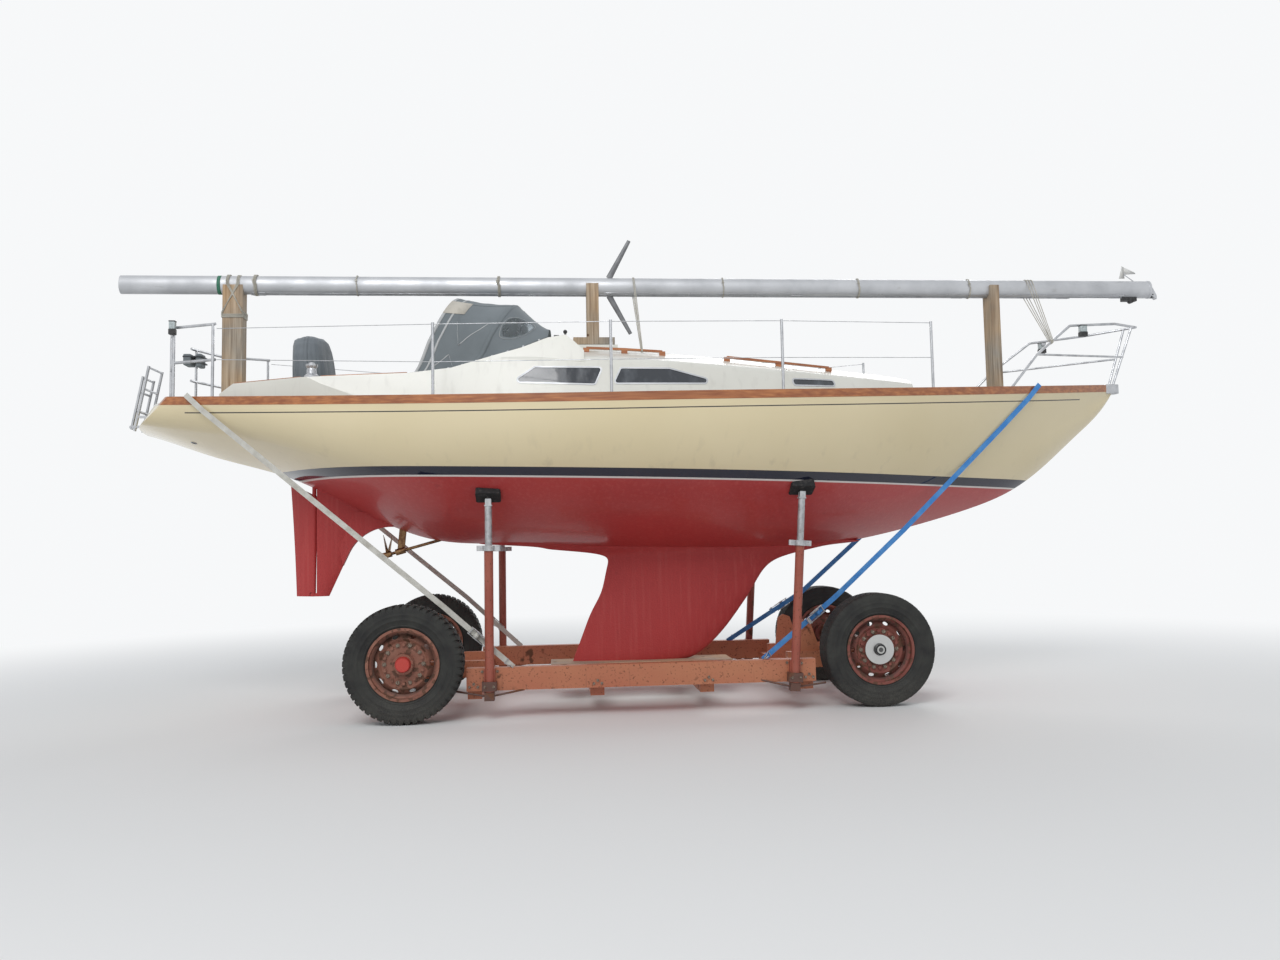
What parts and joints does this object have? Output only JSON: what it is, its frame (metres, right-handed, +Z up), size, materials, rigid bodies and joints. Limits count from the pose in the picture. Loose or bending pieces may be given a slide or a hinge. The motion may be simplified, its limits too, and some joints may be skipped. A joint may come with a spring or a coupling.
{
  "type": "sailing yacht on a four-wheel boat trailer",
  "caption": "Fin-keel sailing yacht with its mast laid on deck props, standing on a wheeled cradle trailer that steers by its drawbar.",
  "frame": {"origin": "on the ground, under the middle of the whole object", "axes": "+X forward to the bow, +Y to port, +Z up"},
  "size_m": [10.18, 3.0018, 4.4316],
  "materials": {
    "gelcoat": "glossy cream gelcoat, navy boot stripe and red antifouling below",
    "deck_gelcoat": "white moulded deck with a non-slip pattern",
    "antifouling": "dull red antifouling paint",
    "teak": "varnished teak",
    "timber": "weathered sawn softwood",
    "canvas": "grey woven acrylic canvas",
    "stainless": "polished stainless steel tube",
    "alloy": "anodised aluminium extrusion",
    "smoked_glass": "dark window pane",
    "bronze": "bronze propeller and shaft",
    "red_oxide": "red oxide paint, rusty at edges",
    "galvanised": "galvanised steel, dull",
    "rubber_tyre": "worn black truck tyre rubber",
    "webbing": "blue and white polyester lashing webbing",
    "winch_chrome": "chromed winch drum"
  },
  "bodies": {
    "boat_and_trailer": {"hull": "gelcoat", "deck": "deck_gelcoat", "cockpit_liner": "deck_gelcoat", "toe_rails": "teak", "coachroof": "deck_gelcoat", "window_panes": "smoked_glass", "washboard": "teak", "hatch_garage": "deck_gelcoat", "hatch_runners": "teak", "forehatch_coaming": "deck_gelcoat", "coamings": "deck_gelcoat", "sprayhood": "canvas", "steering_pedestal": "deck_gelcoat", "wheel_cover": "canvas", "winches": "winch_chrome", "keel_fin": "antifouling", "skeg": "antifouling", "shaft_bracket": "bronze", "stanchions": "stainless", "pulpit": "stainless", "pushpit": "stainless", "guard_wires": "stainless", "ladder_fixed": "stainless", "handrails": "teak", "cleats": "stainless", "roof_vent": "deck_gelcoat", "stemhead": "stainless", "window_frames": "alloy", "lashing_straps": "webbing", "mast": "alloy", "masthead_fitting": "alloy", "spreaders": "alloy", "mast_props": "timber", "trailer_frame": "red_oxide", "keel_planks": "timber", "rear_axle": "red_oxide", "front_axle": "red_oxide", "cradle_posts": "red_oxide", "cradle_jacks": "galvanised", "cradle_pads": "galvanised"},
    "sliding_hatch": {"sliding_hatch": "deck_gelcoat"},
    "forehatch": {"forehatch": "deck_gelcoat"},
    "ladder_fold": {"ladder_fold": "stainless"},
    "rudder": {"rudder": "antifouling"},
    "propeller": {"propeller": "bronze"},
    "drawbar": {"drawbar": "red_oxide"},
    "track_rod": {"track_rod": "red_oxide"},
    "knuckle_left": {"knuckle_left": "red_oxide"},
    "knuckle_right": {"knuckle_right": "red_oxide"},
    "wheel_rear_left": {"wheel_rear_left": "red_oxide", "tyre_rear_left": "rubber_tyre"},
    "wheel_rear_right": {"wheel_rear_right": "red_oxide", "tyre_rear_right": "rubber_tyre"},
    "wheel_front_left": {"wheel_front_left": "red_oxide", "tyre_front_left": "rubber_tyre"},
    "wheel_front_right": {"wheel_front_right": "red_oxide", "tyre_front_right": "rubber_tyre"}
  },
  "joints": [
    {"name": "hatch_slide", "type": "slide", "parent": "boat_and_trailer", "child": "sliding_hatch", "axis": [1, 0, 0], "range_m": [0, 0.43]},
    {"name": "forehatch_hinge", "type": "hinge", "parent": "boat_and_trailer", "child": "forehatch", "pos_m": [3.004, 0, 2.8621], "axis": [0, 1, 0], "range_deg": [0, 95]},
    {"name": "ladder_hinge", "type": "hinge", "parent": "boat_and_trailer", "child": "ladder_fold", "pos_m": [-4.88747, 0, 2.59929], "axis": [0, 1, 0], "range_deg": [-170, 0]},
    {"name": "rudder_hinge", "type": "hinge", "parent": "boat_and_trailer", "child": "rudder", "pos_m": [-3.287, 0, 1.022], "axis": [0, 0, 1], "range_deg": [-5, 65]},
    {"name": "propeller_spin", "type": "hinge", "parent": "boat_and_trailer", "child": "propeller", "pos_m": [-2.61, 0, 1.395], "axis": [0.9659, 0, 0.259], "continuous": true},
    {"name": "steer", "type": "hinge", "parent": "boat_and_trailer", "child": "drawbar", "pos_m": [1.764, 0, 0.375], "axis": [0, 0, 1], "range_deg": [-20, 20]},
    {"name": "steer_left", "type": "hinge", "parent": "boat_and_trailer", "child": "knuckle_left", "pos_m": [1.764, 0.69, 0.49], "axis": [0, 0, 1], "range_deg": [-20, 20]},
    {"name": "steer_right", "type": "hinge", "parent": "boat_and_trailer", "child": "knuckle_right", "pos_m": [1.764, -0.69, 0.49], "axis": [0, 0, 1], "range_deg": [-20, 20]},
    {"name": "track_rod_pin", "type": "hinge", "parent": "knuckle_left", "child": "track_rod", "pos_m": [1.584, 0.69, 0.258], "axis": [0, 0, 1], "range_deg": [-20, 20]},
    {"name": "spin_front_left", "type": "hinge", "parent": "knuckle_left", "child": "wheel_front_left", "pos_m": [1.764, 0.8675, 0.49], "axis": [0, 1, 0], "continuous": true},
    {"name": "spin_front_right", "type": "hinge", "parent": "knuckle_right", "child": "wheel_front_right", "pos_m": [1.764, -0.8675, 0.49], "axis": [0, 1, 0], "continuous": true},
    {"name": "spin_rear_left", "type": "hinge", "parent": "boat_and_trailer", "child": "wheel_rear_left", "pos_m": [-2.305, 0.9875, 0.49], "axis": [0, 1, 0], "continuous": true},
    {"name": "spin_rear_right", "type": "hinge", "parent": "boat_and_trailer", "child": "wheel_rear_right", "pos_m": [-2.305, -0.9875, 0.49], "axis": [0, 1, 0], "continuous": true}
  ],
  "couplings": [
    {"joint": "steer_left", "follows": "steer", "ratio": 1},
    {"joint": "steer_right", "follows": "steer", "ratio": 1},
    {"joint": "track_rod_pin", "follows": "steer", "ratio": -1}
  ]
}
